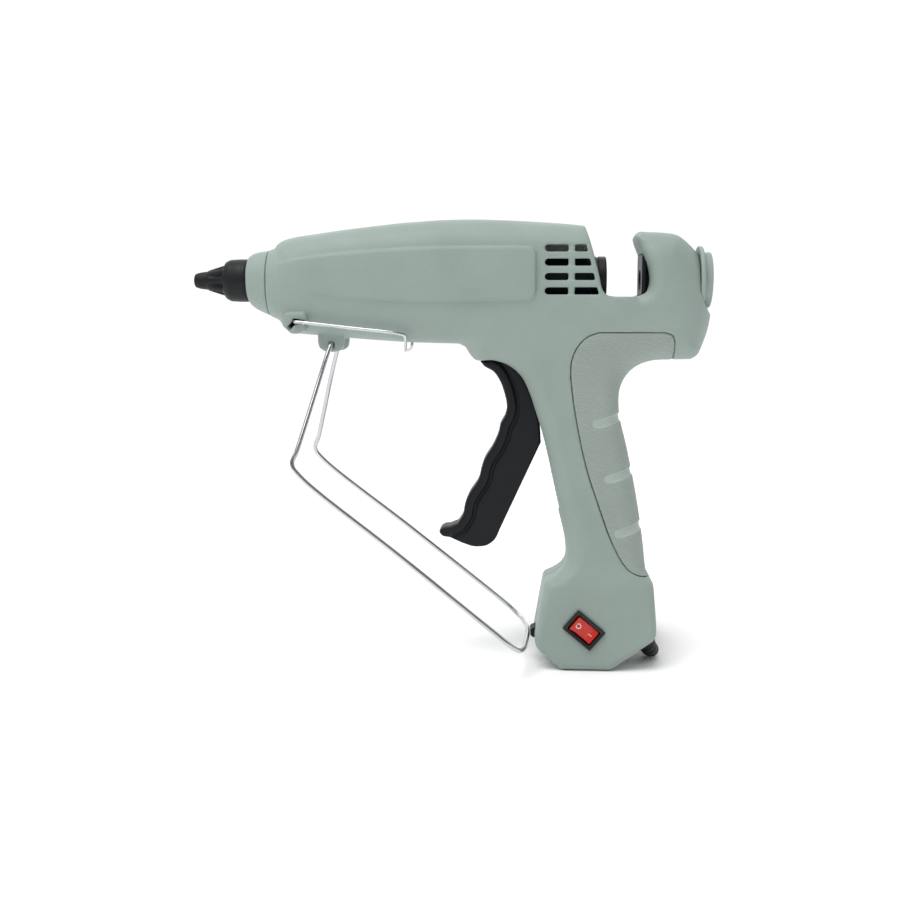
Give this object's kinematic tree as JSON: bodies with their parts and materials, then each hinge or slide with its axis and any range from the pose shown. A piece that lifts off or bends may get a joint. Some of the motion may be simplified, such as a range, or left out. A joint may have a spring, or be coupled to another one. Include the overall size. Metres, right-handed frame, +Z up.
{
  "type": "glue gun",
  "caption": "Pistol-shaped hot-melt glue gun with a full-length trigger, a wire stand, a hanging bail, a rocker switch and a coiled mains lead.",
  "frame": {"origin": "on the flat foot under the handle, in the gun's middle plane", "axes": "+Z up, the nozzle points along -X, the switch is on the -Y side"},
  "size_m": [0.3227, 0.1531, 0.2785],
  "materials": {
    "housing": "fine satin texture",
    "grip": "fine ribbed texture",
    "black_plastic": "satin black",
    "switch_black": "gloss black",
    "switch_red": "gloss red",
    "rubber": "matt black",
    "cord": "satin black jacket",
    "silicone": "red-brown silicone",
    "wire": "bright nickel-plated steel",
    "steel": "zinc-plated steel",
    "aluminium": "cast, dull",
    "brass": "turned, dull"
  },
  "bodies": {
    "housing": {"left_shell": "housing", "right_shell": "housing", "nose_cap": "housing", "inlet_collar": "housing", "left_grip_panel": "grip", "right_grip_panel": "grip", "nozzle": "brass", "nozzle_boot": "rubber", "melt_chamber": "aluminium", "heater_cartridge": "steel", "front_cushion_ring": "silicone", "rear_cushion_ring": "silicone", "inlet_seal": "silicone", "trigger_pin": "steel", "return_spring": "steel", "stick_guide": "black_plastic", "switch_frame": "switch_black", "stand_clip": "rubber", "cord_boot": "rubber", "power_cord": "cord", "cord_coil": "cord", "cord_tail": "cord", "plug_body": "cord", "plug_blade_near": "brass", "plug_blade_far": "brass", "cord_clamp": "black_plastic", "screw_nose": "steel", "screw_barrel_top": "steel", "screw_barrel_low": "steel", "screw_rear_top": "steel", "screw_rear_low": "steel", "screw_handle": "steel", "screw_base": "steel"},
    "trigger": {"trigger": "black_plastic"},
    "link": {"drive_link": "steel"},
    "carriage": {"feed_carriage": "black_plastic", "clamp_jaw": "steel"},
    "rocker": {"switch_rocker": "switch_red"},
    "stand": {"stand_wire": "wire"},
    "bail": {"hanging_bail": "wire"}
  },
  "joints": [
    {"name": "trigger_pull", "type": "hinge", "parent": "housing", "child": "trigger", "pos_m": [-0.0588, 0, 0.198], "axis": [0, -1, 0], "range_deg": [0, 16], "stiffness_Nm_per_rad": 0.6, "springref_deg": -34.38},
    {"name": "link_turn", "type": "hinge", "parent": "trigger", "child": "link", "pos_m": [-0.0588, 0, 0.224], "axis": [0, -1, 0], "range_deg": [-16.5, 0.5]},
    {"name": "feed_slide", "type": "slide", "parent": "housing", "child": "carriage", "axis": [-1, 0, 0], "range_m": [0, 0.0074]},
    {"name": "switch_rock", "type": "hinge", "parent": "housing", "child": "rocker", "pos_m": [-0.0075, -0.0235, 0.0263], "axis": [-0.6428, 0, -0.766], "range_deg": [0, 16]},
    {"name": "stand_fold", "type": "hinge", "parent": "housing", "child": "stand", "pos_m": [-0.1645, 0, 0.202], "axis": [0, 1, 0], "range_deg": [0, 64]},
    {"name": "bail_swing", "type": "hinge", "parent": "housing", "child": "bail", "pos_m": [-0.185, 0, 0.2165], "axis": [0, 1, 0], "range_deg": [0, 60]}
  ],
  "couplings": [
    {"joint": "link_turn", "follows": "trigger_pull", "ratio": -1},
    {"joint": "feed_slide", "follows": "trigger_pull", "m_per_rad": 0.026}
  ]
}
